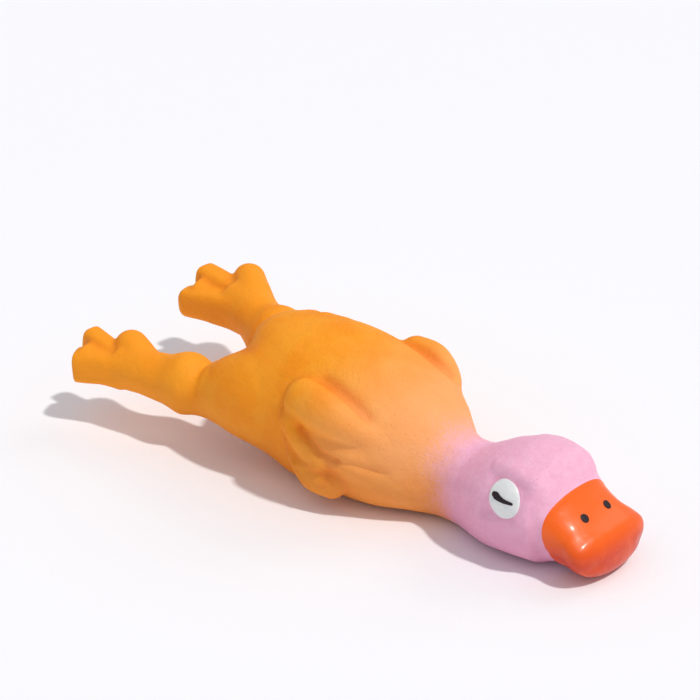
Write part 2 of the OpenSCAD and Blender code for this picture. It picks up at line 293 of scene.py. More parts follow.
class Form:
    """A closed form that knows how far points are from it, and how softly it joins the others."""

    def __init__(self, mesh, fillet):
        self.verts, self.faces = mesh
        self.fillet = fillet
        self.tree = BVHTree.FromPolygons([Vector(v) for v in self.verts], self.faces)
        self.reach = np.array([self.verts.min(0) - fillet - 3, self.verts.max(0) + fillet + 3])

    def distance(self, points):
        """Signed distance of each point, and the direction in which it grows."""
        gap = np.full(len(points), FAR)
        away = np.zeros((len(points), 3))
        near = ((points > self.reach[0]) & (points < self.reach[1])).all(1)
        for i in np.flatnonzero(near):
            at, normal, _, far = self.tree.find_nearest(Vector(points[i]))
            offset = points[i] - np.array(at)
            side = 1.0 if offset @ np.array(normal) >= 0 else -1.0
            gap[i] = side * far
            away[i] = normal if far < 1e-3 else offset * (side / far)
        return gap, away


def blended_distance(forms, points):
    """Distance from the smooth union of the forms, its gradient, and how deep in a fold each point is."""
    gap, away = forms[0].distance(points)
    fold = np.zeros(len(points))
    for form in forms[1:]:
        other, other_away = form.distance(points)
        h = np.where(other < FAR, np.clip(form.fillet - abs(gap - other), 0, None) / form.fillet, 0)
        turn = 1 - np.clip(np.einsum("ij,ij->i", away, other_away), -1, 1)
        fold = np.maximum(fold, h * np.clip(turn * 1.6, 0, 1))
        share = np.where(gap < other, h / 2, 1 - h / 2)[:, None]
        gap = np.minimum(gap, other) - h * h * form.fillet / 4
        away = away * (1 - share) + other_away * share
    return gap, away, fold


def remeshed(forms):
    """One even quad mesh over all the forms."""
    verts, faces = [], []
    for form in forms:
        faces += [tuple(k + len(verts) for k in f) for f in form.faces]
        verts += [tuple(v) for v in form.verts * MM]
    mesh = bpy.data.meshes.new("forms")
    mesh.from_pydata(verts, [], faces)
    made = bpy.data.objects.new("forms", mesh)
    bpy.context.scene.collection.objects.link(made)
    voxel = made.modifiers.new("even", "REMESH")
    voxel.mode = "VOXEL"
    voxel.voxel_size = VOXEL * MM
    voxel.adaptivity = 0
    even = made.evaluated_get(bpy.context.evaluated_depsgraph_get()).to_mesh()
    points = np.empty(len(even.vertices) * 3)
    even.vertices.foreach_get("co", points)
    polygons = [tuple(p.vertices) for p in even.polygons]
    edges = np.empty(len(even.edges) * 2, int)
    even.edges.foreach_get("vertices", edges)
    bpy.data.objects.remove(made)
    bpy.data.meshes.remove(mesh)
    return points.reshape(-1, 3) / MM, polygons, edges.reshape(-1, 2)


def averaged(values, edges):
    """Mean of each vertex's neighbours."""
    total = np.zeros_like(values)
    np.add.at(total, edges[:, 0], values[edges[:, 1]])
    np.add.at(total, edges[:, 1], values[edges[:, 0]])
    count = np.bincount(edges.ravel(), minlength=len(values))
    return total / count.reshape((-1,) + (1,) * (values.ndim - 1))


def vertex_normals(points, polygons):
    """Area-weighted normals of a mesh of quads and triangles."""
    quads = np.array([p if len(p) == 4 else (*p, p[2]) for p in polygons])
    corner = points[quads]
    face = np.cross(corner[:, 2] - corner[:, 0], corner[:, 3] - corner[:, 1])
    total = np.zeros_like(points)
    for k in range(4):
        np.add.at(total, quads[:, k], face)
    return total / np.maximum(np.linalg.norm(total, axis=1), 1e-12)[:, None]


# ---------------------------------------------------------------- sculpted relief

def path_distance(points, path):
    """Distance of each point from a polyline."""
    path = np.asarray(path, float)
    best = np.full(len(points), 1e9)
    for a, b in zip(path[:-1], path[1:]):
        t = np.clip((points - a) @ (b - a) / ((b - a) @ (b - a)), 0, 1)
        best = np.minimum(best, np.linalg.norm(points - a - t[:, None] * (b - a), axis=1))
    return best


def ridge(points, path, width, height):
    """A rounded ridge along a path, or a groove where height is negative."""
    return height * np.exp(-(path_distance(points, path) / width) ** 2)


def both_sides(points):
    """The points folded over onto the left side, so relief is drawn once."""
    return points * (1, 0, 1) + abs(points) * (0, 1, 0)


def smooth_noise(points, scale, seed):
    """Soft lumps of about the given size, from -1 to 1."""
    shift = Vector((seed * 17.3, seed * 5.1, seed * 11.7))
    return np.array([noise.noise(Vector(p) / scale + shift) for p in points])


# Relief on the left side: name, path, width and height
RELIEF = {
    "brow": (
        [(61, 10.8, 28.6), (66, 11.2, 29), (71, 11, 27.5), (73.5, 10.4, 26.3), (75.5, 10.8, 24)], 2.1, 0.8),
    "brow_hollow": ([(62, 14, 26.5), (68, 14, 27), (72.5, 13.4, 25), (75, 13, 21.5)], 1.9, -0.6),
    "socket": ([(65, 16, 22), (69, 15.6, 22)], 5.5, -0.45),
    "socket_edge": ([(58.5, 15.5, 14), (64, 16.6, 13.8), (70.5, 16.4, 14.4), (75.5, 15.2, 16.5)], 1.8, 0.5),
    "under_eye": ([(62, 16.5, 17), (69.5, 16.2, 17.6)], 1.8, -0.35),
    "lid_bump": ([(71.6, 16.2, 17), (72, 16, 16.4)], 1.0, 0.6),
    "cheek": ([(58, 15.5, 12), (63, 16.5, 9), (70, 16, 8)], 4.5, 0.5),
    "temple": ([(74.8, 14.6, 20), (76.8, 14.8, 16)], 1.4, -0.45),
    "jaw": ([(77, 14.2, 13), (78, 13.5, 8)], 1.6, -0.3),
    "mouth": ([(79, 13.5, 8), (84, 13.4, 6.4), (89, 13.2, 6.2), (93, 9.5, 6.6)], 1.3, -0.4),
    "bill_lip": ([(89.5, 9, 15), (91, 4, 14.6)], 2.2, 0.2),
    "wing_crease": ([(2.5, 0, 25.5), (6, 0, 22.8), (10, 0, 19.8), (15, 0, 18.9)], 1.0, -1.1),
    "wing_crease_end": ([(16, 0, 18.8), (19, 0, 18.8), (23, 0, 17.6), (28, 0, 16.4)], 1.1, -0.7),
    "wing_facet": ([(-5, 0, 12.5), (3, 0, 13.7), (9, 0, 15), (14, 0, 16)], 0.9, 0.45),
    "wing_rim": ([(-5, 0, 27), (-4.5, 0, 21), (-1, 0, 15), (4, 0, 9)], 0.9, 0.35),
    "wing_edge": ([(-3.5, 0, 13), (-0.5, 0, 10.8), (2.5, 0, 8.8)], 0.8, -0.6),
    "shoulder": ([(3, 16.5, 37.2), (9, 17, 36), (14, 17.5, 34), (20, 18, 31)], 2.0, -0.9),
}
WING_RELIEF = ("wing_crease", "wing_crease_end", "wing_facet", "wing_rim", "wing_edge")
PIT = (1.4, -2.2)      # width and height of the pit between the toes
NOTCH = (0.9, -0.9)    # width and height of the groove from the pit to between the toes' tips
FOLD_BLUR = 5          # how widely the painted crease shade is spread
SPINE_RIPPLES = {"from": -32, "to": -12, "length": 5.2, "height": 0.28}
BILL_STEP = 0.3        # how far the bill stands proud where its colour starts
LUMPS = ((14, 0.25, 1), (4.5, 0.08, 2))   # size, height and seed of the stuffing's lumps


def head_turn(x):
    """How far left the skin lies at x, because the head is turned a little."""
    t = np.clip((x - HEAD_TURN["from"]) / (HEAD_TURN["to"] - HEAD_TURN["from"]), 0, 1)
    return HEAD_TURN["reach"] * t ** 2.6


def bill_border(z):
    """Where along the head the bill's colour starts, at height z."""
    return BILL_CUT + BILL_BOW * (z - 16) ** 2


def relief(points):
    """Height to add to the blended forms at each point, and how much of it is groove."""
    sided = both_sides(points)
    x = points[:, 0]
    height = np.zeros(len(points))
    groove = np.zeros(len(points))
    scale, start = np.where(points[:, 1:2] > 0, WING_PLACE[LEFT], WING_PLACE[RIGHT]).T
    on_wing = np.column_stack([(x - start) / scale, np.zeros(len(x)), sided[:, 2]])
    for name, row in RELIEF.items():
        if name in WING_RELIEF:
            rise = ridge(on_wing, *row) * np.clip((sided[:, 1] - 16) / 4, 0, 1)
        else:
            rise = ridge(sided, *row)
        height += rise
        groove -= np.minimum(rise, 0)
    along = np.clip((x - SPINE_RIPPLES["from"]) / 4, 0, 1) * np.clip((SPINE_RIPPLES["to"] - x) / 6, 0, 1)
    flank = np.exp(-((points[:, 1] - 11) / 5) ** 2) * (points[:, 2] > 30)
    height += SPINE_RIPPLES["height"] * along * flank * np.cos(2 * np.pi * x / SPINE_RIPPLES["length"])
    for side, pit in FOOT_PITS.items():
        notch = np.add(pit, TOE_NOTCHES[side])
        rise = ridge(points, [pit, np.add(pit, (-2, 0, -1))], *PIT) + ridge(points, [pit, notch], *NOTCH)
        height += rise
        groove -= rise
    past = np.clip((x - bill_border(points[:, 2])) / 0.8 + 0.5, 0, 1)
    height += BILL_STEP * past * past * (3 - 2 * past) * np.clip((88 - x) / 8, 0, 1)
    smooth = np.clip((79 - x) / 4, 0.15, 1)
    for size, lump, seed in LUMPS:
        height += lump * smooth * smooth_noise(points, size, seed)
    return height, np.clip(groove, 0, 1)


def foot_forms(side):
    """Toes, the inner lump and the web of one foot."""
    pit = np.array(FOOT_PITS[side], float)
    ankle = pit + (6, 0, -3)
    forms = []
    for name, (end, radii, blunt) in TOES[side].items():
        tip = pit + end
        lump = name == "inner"
        root = np.array(leg_rows(side)[LUMP_ROOT][:3]) if lump else ankle
        if name == "outer":
            root = root + OUTER_ROOT[side]
        wide = np.array(radii) / (LUMP_TAPER[side] if lump else 1)
        thin = np.array(radii) * (1 if lump else TOE_TAPER[side])
        rows = [(*root, *wide), (*((root + tip) / 2 + (0, 0, 0.3)), *(wide + thin) / 2), (*tip, *thin)]
        cap = thin[0] * 1.9 / blunt
        forms.append(Form(path_tube(rows, (4, cap), 2.0 if lump else 3.2, blunt=blunt), 1.2))
    outer, middle = (pit + TOES[side][k][0] for k in ("outer", "middle"))
    tip = (outer + middle) / 2 + (1.6, 0, 0)
    rows = [(*(pit + (3, 0, -4.5)), 5, FOOT_THICK), (*tip, 6.5, FOOT_THICK)]
    forms.append(Form(path_tube(rows, (3, 2), 2.8, blunt=3), 1.5))
    return forms


def leg_rows(side):
    """The rows of the LEG table as they are on one side."""
    girth = LEG_GIRTH[side]
    return [(x, side * y, z + (lift if side == LEFT else 0), ry * girth, rz * girth)
            for x, y, z, ry, rz, lift in LEG]


def moulding_forms():
    """Every closed form that the moulding is blended from."""
    forms = [Form(upright_tube(TRUNK, TRUNK_CAPS, 2.15, 130, below=2.9), 1)]
    forms.append(Form(upright_tube(BILL, BILL_CAPS, 2.15, 50, blunt=2.2, below=2.2), 3))
    for side in (LEFT, RIGHT):
        thigh = ellipsoid(THIGH["centre"], THIGH["radii"])
        forms.append(Form(mirrored(thigh, side), 5))
        forms.append(Form(path_tube(leg_rows(side), (8, 3), steps=60, sides=56), 5))
        for rows in WING_LOBES.values():
            scale, start = WING_PLACE[side]
            rows = [(x * scale + start, *rest) for x, *rest in rows]
            lobe = path_tube(rows, (rows[0][3], rows[-1][3]), steps=30)
            forms.append(Form(mirrored(lobe, side), WING_FILLET))
        forms += foot_forms(side)
    return forms


def moulding():
    """The whole moulding as one even mesh: points, normals, polygons and depth in the folds."""
    forms = moulding_forms()
    points, polygons, edges = remeshed(forms)
    for turn in range(4):
        gap, away, fold = blended_distance(forms, points)
        steep = np.maximum((away ** 2).sum(1), 0.3)
        points -= away * (gap / steep)[:, None]
        if turn < 3:
            normals = vertex_normals(points, polygons)
            slide = averaged(points, edges) - points
            points += 0.5 * (slide - normals * np.einsum("ij,ij->i", slide, normals)[:, None])
    normals = vertex_normals(points, polygons)
    height, groove = relief(points)
    # The grooves count as folds, so the painted crease shade darkens them too
    fold = np.maximum(fold, groove)
    points += normals * height[:, None]
    low = np.clip(FLOOR_BLEND - abs(points[:, 2]), 0, None) / FLOOR_BLEND
    points[:, 2] = np.maximum(points[:, 2], 0) + low ** 2 * FLOOR_BLEND / 4
    points[:, 1] += head_turn(points[:, 0])
    for _ in range(FOLD_BLUR):
        fold = averaged(fold, edges)
    return points, vertex_normals(points, polygons), polygons, fold


# ---------------------------------------------------------------- skins and shells

@functools.lru_cache(maxsize=None)
def whole_skin():
    """The moulding, made once: points, normals, polygons, folds and a tree that finds places on it."""
    points, normals, polygons, fold = moulding()
    tree = BVHTree.FromPolygons([Vector(p) for p in points], polygons)
    return points, normals, polygons, fold, tree


def skin_section(cuts, side=None, bill=None):
    """Part of the moulding, cut by planes across x, each (x, 1 to keep what is in front or -1 behind)."""
    points, normals, polygons, fold, _ = whole_skin()
    section = bmesh.new()
    normal_layer = section.verts.layers.float_vector.new("normal")
    fold_layer = section.verts.layers.float.new("fold")
    low, high = -1e9, 1e9
    for x, keep in cuts:
        low, high = (max(low, x), high) if keep > 0 else (low, min(high, x))
    margin = 4
    used = (points[:, 0] > low - margin) & (points[:, 0] < high + margin)
    if side:
        used &= points[:, 1] * side > 0
    made = {}
    for i in np.flatnonzero(used):
        vert = section.verts.new(points[i])
        vert[normal_layer] = Vector(normals[i])
        vert[fold_layer] = fold[i]
        made[i] = vert
    for polygon in polygons:
        if all(used[k] for k in polygon):
            section.faces.new([made[k] for k in polygon])
    for x, keep in cuts:
        cut_section(section, Vector((x, 0, 0)), Vector((keep, 0, 0)))
    if bill:
        for vert in section.verts:
            vert.co.x -= bill_border(vert.co.z)
        cut_section(section, Vector((0, 0, 0)), Vector((bill, 0, 0)))
        for vert in section.verts:
            vert.co.x += bill_border(vert.co.z)
    loose = [v for v in section.verts if not v.link_faces]
    bmesh.ops.delete(section, geom=loose, context="VERTS")
    return section


def cut_section(section, place, keep):
    """Cuts the section with a plane and keeps what is on the side that keep points to."""
    everything = section.verts[:] + section.edges[:] + section.faces[:]
    bmesh.ops.bisect_plane(
        section, geom=everything, dist=1e-4, plane_co=place, plane_no=keep, clear_inner=True)


def open_hole(section, centre, radius, below):
    """A clean round hole in the underside of the section."""
    inside = [f for f in section.faces if f.calc_center_median().z < below
              and math.hypot(*(f.calc_center_median() - centre).xy) < radius]
    bmesh.ops.delete(section, geom=inside, context="FACES")
    for vert in section.verts:
        if vert.is_boundary and vert.co.z < below:
            out = (vert.co - centre).xy
            if out.length < radius * 1.3:
                vert.co.xy = centre.xy + out * (radius / out.length)


def new_piece(name, points, polygons, normals=None, fold=None):
    """A smooth mesh object from points in millimetres, which it remembers as its rest places."""
    mesh = bpy.data.meshes.new(name)
    mesh.from_pydata([tuple(p) for p in np.asarray(points) * MM], [], polygons)
    mesh.update()
    mesh.shade_smooth()
    rest = mesh.attributes.new("rest", "FLOAT_VECTOR", "POINT")
    rest.data.foreach_set("vector", np.asarray(points, np.float32).ravel())
    if fold is not None:
        depth = mesh.attributes.new("fold", "FLOAT", "POINT")
        depth.data.foreach_set("value", np.asarray(fold, np.float32))
    if normals is not None:
        mesh.normals_split_custom_set_from_vertices([Vector(n).normalized() for n in normals])
    piece = bpy.data.objects.new(name, mesh)
    bpy.context.scene.collection.objects.link(piece)
    return piece


def shell(name, section, wall):
    """Turns a section of the skin into a closed shell with the given wall, and frees the section."""
    section.verts.index_update()
    normal_layer = section.verts.layers.float_vector["normal"]
    fold_layer = section.verts.layers.float["fold"]
    outer = np.array([v.co for v in section.verts])
    normals = np.array([v[normal_layer] for v in section.verts])
    normals /= np.linalg.norm(normals, axis=1)[:, None]
    fold = np.array([v[fold_layer] for v in section.verts])
    polygons = [tuple(v.index for v in f.verts) for f in section.faces]
    count = len(outer)
    rims = []
    for face in section.faces:
        for loop in face.loops:
            if loop.edge.is_boundary:
                a, b = loop.vert.index, loop.link_loop_next.vert.index
                rims.append((b, a, a + count, b + count))
    at_rim = np.array([v.is_boundary for v in section.verts])
    section.free()
    inward = normals.copy()
    inward[at_rim, 0] = 0
    inward[at_rim] /= np.linalg.norm(inward[at_rim], axis=1)[:, None]
    inner = outer - inward * wall
    inner_faces = [tuple(k + count for k in reversed(p)) for p in polygons]
    return new_piece(
        name, np.vstack([outer, inner]), polygons + inner_faces + rims,
        np.vstack([normals, -normals]), np.tile(fold, 2))


def dab(name, centre, facing, ahead, outline, height, target=None, sunk=0.5, swell=0.3, rings=7):
    """A raised dab of paint inside an outline drawn on the tangent plane of what it is painted on."""
    tree = target or whole_skin()[4]
    facing = Vector(facing).normalized()
    hit, normal, _, _ = tree.ray_cast(Vector(centre) + facing * 20, -facing)
    if hit is None:
        raise RuntimeError(f"{name}: nothing to paint on")
    across = (Vector(ahead) - normal * Vector(ahead).dot(normal)).normalized()
    upward = across.cross(normal) if across.cross(normal).z > 0 else normal.cross(across)
    outline = np.asarray(outline, float)
    middle = outline.mean(0)
    verts, normals = [], []
    for ring in range(rings + 1):
        share = ring / rings
        scale = math.sin(share * math.pi / 2)
        for u, v in middle + (outline - middle) * scale:
            start = hit + across * u + upward * v
            at, _, _, _ = tree.ray_cast(start + normal * 5, -normal)
            at = at if at is not None else start
            lift = height * (1 - share ** 4) ** swell - 0.02
            verts.append(at + normal * lift)
    around = len(outline)
    verts += [v - normal * sunk for v in verts[-around:]]
    faces = []
    for ring in range(rings + 1):
        for k in range(around):
            a, b = ring * around + k, ring * around + (k + 1) % around
            faces.append((a, b, b + around, a + around))
    top, bottom = len(verts), len(verts) + 1
    verts += [sum((verts[k] for k in range(around)), Vector()) / around]
    last = (rings + 1) * around
    verts += [sum((verts[last + k] for k in range(around)), Vector()) / around]
    faces += [((k + 1) % around, k, top) for k in range(around)]
    faces += [(last + k, last + (k + 1) % around, bottom) for k in range(around)]
    piece = new_piece(name, np.array([tuple(v) for v in verts]), faces)
    tidy = bmesh.new()
    tidy.from_mesh(piece.data)
    bmesh.ops.remove_doubles(tidy, verts=tidy.verts, dist=1e-6)
    bmesh.ops.recalc_face_normals(tidy, faces=tidy.faces)
    tidy.to_mesh(piece.data)
    tidy.free()
    return piece


# ---------------------------------------------------------------- shader maths

class Value:
    """The output of a node. Sums and products of values add Math or Vector Math nodes."""

    def __init__(self, finish, socket):
        self.finish = finish
        self.socket = socket

    def sum_node(self, operation, a, b):
        """A Math node, or a Vector Math node where either input is a vector."""
        vector = any(isinstance(v, Value) and v.socket.type in ("VECTOR", "RGBA") for v in (a, b))
        kind = "ShaderNodeVectorMath" if vector else "ShaderNodeMath"
        return self.finish.node(kind, {"operation": operation}, {0: a, 1: b})

    def __add__(self, other):
        return self.sum_node("ADD", self, other)

    def __radd__(self, other):
        return self.sum_node("ADD", other, self)

    def __sub__(self, other):
        return self.sum_node("SUBTRACT", self, other)

    def __rsub__(self, other):
        return self.sum_node("SUBTRACT", other, self)

    def __mul__(self, other):
        return self.sum_node("MULTIPLY", self, other)

    def __rmul__(self, other):
        return self.sum_node("MULTIPLY", other, self)

    def __truediv__(self, other):
        return self.sum_node("DIVIDE", self, other)

    def __pow__(self, other):
        return self.sum_node("POWER", self, other)

    def step(self, low, high):
        """0 below low and 1 above high, turning smoothly between them; low may be the greater."""
        return self.finish.node(
            "ShaderNodeMapRange", {"interpolation_type": "SMOOTHSTEP", "clamp": True},
            {"Value": self, "From Min": low, "From Max": high, "To Min": 0.0, "To Max": 1.0})


class Finish:
    """A material in the making: its nodes and its one shader."""

    def __init__(self, name, **constants):
        self.material = bpy.data.materials.new(name)
        self.material.use_nodes = True
        self.tree = self.material.node_tree
        self.shader = self.tree.nodes["Principled BSDF"]
        for socket, value in constants.items():
            self.shader.inputs[socket.replace("_", " ")].default_value = value

    def node(self, kind, settings=None, sockets=None, output=0):
        """Adds a node: its settings first, then the values or links of its sockets."""
        made = self.tree.nodes.new(kind)
        for name, value in (settings or {}).items():
            setattr(made, name, value)
        for name, value in (sockets or {}).items():
            socket = made.inputs[name]
            if isinstance(value, Value):
                self.tree.links.new(value.socket, socket)
            elif hasattr(socket.default_value, "__len__") and not hasattr(value, "__len__"):
                socket.default_value = (value,) * len(socket.default_value)
            else:
                socket.default_value = value
        return Value(self, made.outputs[output])

    def mix(self, share, a, b):
        """Colour a where share is 0 and colour b where it is 1."""
        made = self.tree.nodes.new("ShaderNodeMix")
        made.data_type = "RGBA"
        for socket, value in ((made.inputs[0], share), (made.inputs[6], a), (made.inputs[7], b)):
            if isinstance(value, Value):
                self.tree.links.new(value.socket, socket)
            else:
                socket.default_value = value
        return Value(self, made.outputs[2])

    def rest(self):
        """Rest place in millimetres, which a mesh keeps as an attribute."""
        return self.node("ShaderNodeAttribute", {"attribute_name": "rest"}, output="Vector")

    def local(self):
        """Place in millimetres on a CAD node."""
        return self.node("ShaderNodeTexCoord", output="Object") * (1000, 1000, 1000)

    def fold(self):
        """How deep in a crease the skin lies, from 0 to 1."""
        return self.node("ShaderNodeAttribute", {"attribute_name": "fold"}, output="Fac")

    def axis(self, place, name):
        """One component of a place."""
        return self.node("ShaderNodeSeparateXYZ", sockets={0: place}, output=name)

    def cloud(self, place, size, detail=2.0, rough=0.5):
        """Soft noise from 0 to 1, with lumps of about the given size in millimetres."""
        return self.node("ShaderNodeTexNoise", sockets={
            "Vector": place, "Scale": 1 / size, "Detail": detail, "Roughness": rough}, output="Fac")

    def specks(self, place, spacing, width):
        """1 in the middle of scattered round specks and 0 between them."""
        far = self.node("ShaderNodeTexVoronoi", sockets={"Vector": place, "Scale": 1 / spacing},
                        output="Distance")
        return far.step(width, width * 0.4)

    def bump(self, height, strength, depth, under=None):
        """A normal from a height, at a depth in millimetres."""
        sockets = {"Height": height, "Strength": strength, "Distance": depth * MM}
        if under:
            sockets["Normal"] = under
        return self.node("ShaderNodeBump", sockets=sockets)

    def feed(self, **values):
        """Links values to the shader and returns the finished material."""
        for socket, value in values.items():
            self.tree.links.new(value.socket, self.shader.inputs[socket.replace("_", " ")])
        return self.material


def srgb(red, green, blue):
    """Scene-linear colour of an 8-bit display colour."""
    return tuple(((c / 255 + 0.055) / 1.055) ** 2.4 if c > 10 else c / 3294.6 for c in (red, green, blue))


def opaque(colour):
    """The colour with full alpha."""
    return (*colour, 1.0)


# ---------------------------------------------------------------- finishes

NECK_FADE = (34, 48)     # where the orange fades to pink, along x
PEACH_FADE = (-4, 38)    # where it first pales
FOOT_FADE = (-40, -72)   # where it deepens towards the feet


@functools.lru_cache(maxsize=None)
def latex(name):
    """Matt moulded latex, airbrushed orange with pink head and deeper feet, with painted shade in its
    creases and hollows and low on its flanks and head. All skins share its paint.
    """
    paints = bpy.context.scene.squeaky_paints
    finish = Finish(name, Specular_IOR_Level=0.22)
    place = finish.rest()
    x, z = finish.axis(place, "X"), finish.axis(place, "Z")
    cloudy = finish.cloud(place, 11)
    mottle = finish.cloud(place, 2.6, detail=4.0, rough=0.6)
    spatter = finish.cloud(place, 0.45, detail=2.0, rough=0.7)
    body = finish.mix(cloudy.step(0.3, 0.7), opaque(paints.orange), opaque(paints.orange_light))
    # Painted shade: a duller, darker orange low on the body, partly the latex's own duller tone
    low = z.step(26, 6) * (0.35 + 0.3 * mottle)
    body = finish.mix(low, body, opaque(paints.dull_orange_and_shade))
    deep = x.step(*FOOT_FADE) * (0.75 + 0.25 * mottle)
    body = finish.mix(deep, body, opaque(paints.foot))
    # Painted shade: darker orange in the creases and grooves
    crease_shade_mask = finish.fold().step(0.1, 0.9) * (0.3 + 0.4 * mottle)
    body = finish.mix(crease_shade_mask, body, opaque(paints.crease_shade))
    wander = x + (cloudy - 0.5) * 7.0 + (spatter - 0.5) * 16.0 + (z - 16) * 0.12
    peach = (x + (cloudy - 0.5) * 12.0).step(*PEACH_FADE)
    skin = finish.mix(peach * (0.8 - 0.45 * z.step(24, 8)), body, opaque(paints.peach))
    pink = finish.mix(mottle.step(0.35, 0.7) * 0.6, opaque(paints.pink), opaque(paints.pink_light))
    # Painted shade: darker pink in the head's hollows
    hollow = finish.fold().step(0.2, 1.0) * 0.5
    pink = finish.mix(hollow, pink, opaque(paints.pink_shade))
    # Painted shade: darker pink low on the head
    pink = finish.mix(z.step(24, 4) * 0.55, pink, opaque(paints.pink_shade))
    skin = finish.mix(wander.step(*NECK_FADE), skin, pink)
    dark = finish.specks(place, 7.5, 0.045) * finish.cloud(place, 9).step(0.5, 0.65)
    skin = finish.mix(dark * 0.55, skin, opaque(paints.speck))
    worn = finish.specks(place + 31, 4.5, 0.07) * finish.cloud(place + 9, 12).step(0.5, 0.62)
    skin = finish.mix(worn * 0.35, skin, opaque(paints.worn))
    head = x.step(40, 48)
    pores = finish.specks(place, 1.15, 0.3)
    grain = finish.cloud(place, 0.35, detail=3.0)
    waves = finish.cloud(place, 2.6, detail=4.0)
    normal = finish.bump(waves, 0.6, 0.5)
    normal = finish.bump(grain - pores * 0.8, 0.5, 0.2, normal)
    rough = 0.62 - head * 0.14 + (mottle - 0.5) * 0.14
    return finish.feed(Base_Color=skin, Roughness=rough, Normal=normal)


@functools.lru_cache(maxsize=None)
def bill_gloss():
    """Thick glossy orange-red dipped over the bill, with painted shade low on it."""
    paints = bpy.context.scene.squeaky_paints
    finish = Finish("bill_latex", Coat_Roughness=0.16, Specular_IOR_Level=0.35, Coat_IOR=1.4)
    place = finish.rest()
    z = finish.axis(place, "Z")
    cloudy = finish.cloud(place, 6)
    mottle = finish.cloud(place, 1.4, detail=3.0)
    # Painted shade: darker, redder orange low on the bill
    skin = finish.mix(z.step(15, 7) * 0.8, opaque(paints.bill), opaque(paints.bill_shade))
    skin = finish.mix(cloudy.step(0.4, 0.7) * 0.3, skin, opaque(paints.bill_light))
    dust = finish.specks(place, 3.1, 0.06) * finish.cloud(place, 5).step(0.5, 0.6)
    skin = finish.mix(dust * 0.4, skin, opaque(paints.worn))
    waves = finish.cloud(place, 4.0, detail=2.0)
    peel = finish.cloud(place, 0.9, detail=2.0)
    normal = finish.bump(waves, 0.5, 0.4)
    normal = finish.bump(peel, 0.15, 0.08, normal)
    return finish.feed(Base_Color=skin, Roughness=0.34 + mottle * 0.14, Coat_Weight=0.22 + cloudy * 0.25,
                       Normal=normal)


def brushed_paint(name, colour, shade, roughness, coat):
    """Hand-brushed enamel with a slightly wavy film."""
    finish = Finish(name, Coat_Roughness=0.15, Specular_IOR_Level=0.25)
    place = finish.rest()
    strokes = finish.cloud(place * (0.6, 1.5, 2.2), 1.2, detail=3.0)
    skin = finish.mix(strokes.step(0.35, 0.75) * 0.5, opaque(colour), opaque(shade))
    normal = finish.bump(strokes, 0.3, 0.1)
    return finish.feed(Base_Color=skin, Roughness=roughness + strokes * 0.12,
                       Coat_Weight=coat + strokes * 0.1, Normal=normal)


def fibre_finish():
    """Matted white polyester fibre."""
    paints = bpy.context.scene.squeaky_paints
    finish = Finish("fibre", Sheen_Weight=0.5, Sheen_Roughness=0.6, Specular_IOR_Level=0.2)
    place = finish.rest()
    strands = finish.cloud(place * (0.35, 1.0, 1.6), 1.1, detail=5.0, rough=0.7)
    clumps = finish.cloud(place, 5, detail=3.0)
    skin = finish.mix(clumps * 0.5, opaque(paints.fibre), opaque(paints.fibre_shade))
    normal = finish.bump(strands + clumps, 0.9, 0.9)
    return finish.feed(Base_Color=skin, Roughness=0.85 + strands * 0.1, Normal=normal)


def moulded_plastic(name, colour, shade, place_of, roughness=0.4):
    """Blow-moulded polythene with faint flow marks and fine scuffs."""
    finish = Finish(name, Specular_IOR_Level=0.45)
    place = place_of(finish)
    flow = finish.cloud(place * (1.0, 1.0, 0.25), 3.0, detail=3.0)
    scuff = finish.cloud(place * (0.3, 1.0, 3.0), 0.6, detail=4.0, rough=0.65)
    skin = finish.mix(flow.step(0.35, 0.7) * 0.6, opaque(colour), opaque(shade))
    normal = finish.bump(scuff, 0.2, 0.05)
    return finish.feed(Base_Color=skin, Roughness=roughness + scuff * 0.2, Normal=normal)


def cast_patch():
    """Offcut of latex glued over the filling hole."""
    paints = bpy.context.scene.squeaky_paints
    finish = Finish("patch_latex", Specular_IOR_Level=0.4)
    place = finish.local()
    mottle = finish.cloud(place, 1.6, detail=4.0)
    # On the patch the two darker oranges are only mixed by random mottle, as tone and not as shade
    skin = finish.mix(mottle, opaque(paints.dull_orange_and_shade), opaque(paints.crease_shade))
    normal = finish.bump(mottle, 0.4, 0.2)
    return finish.feed(Base_Color=skin, Roughness=0.5 + mottle * 0.2, Normal=normal)


# ---------------------------------------------------------------- what a user may change

def colour(name, description, rgb):
    """A colour property, given as an 8-bit display colour."""
    return bpy.props.FloatVectorProperty(
        name=name, description=description, default=srgb(*rgb), min=0, max=1, size=3, subtype="COLOR")


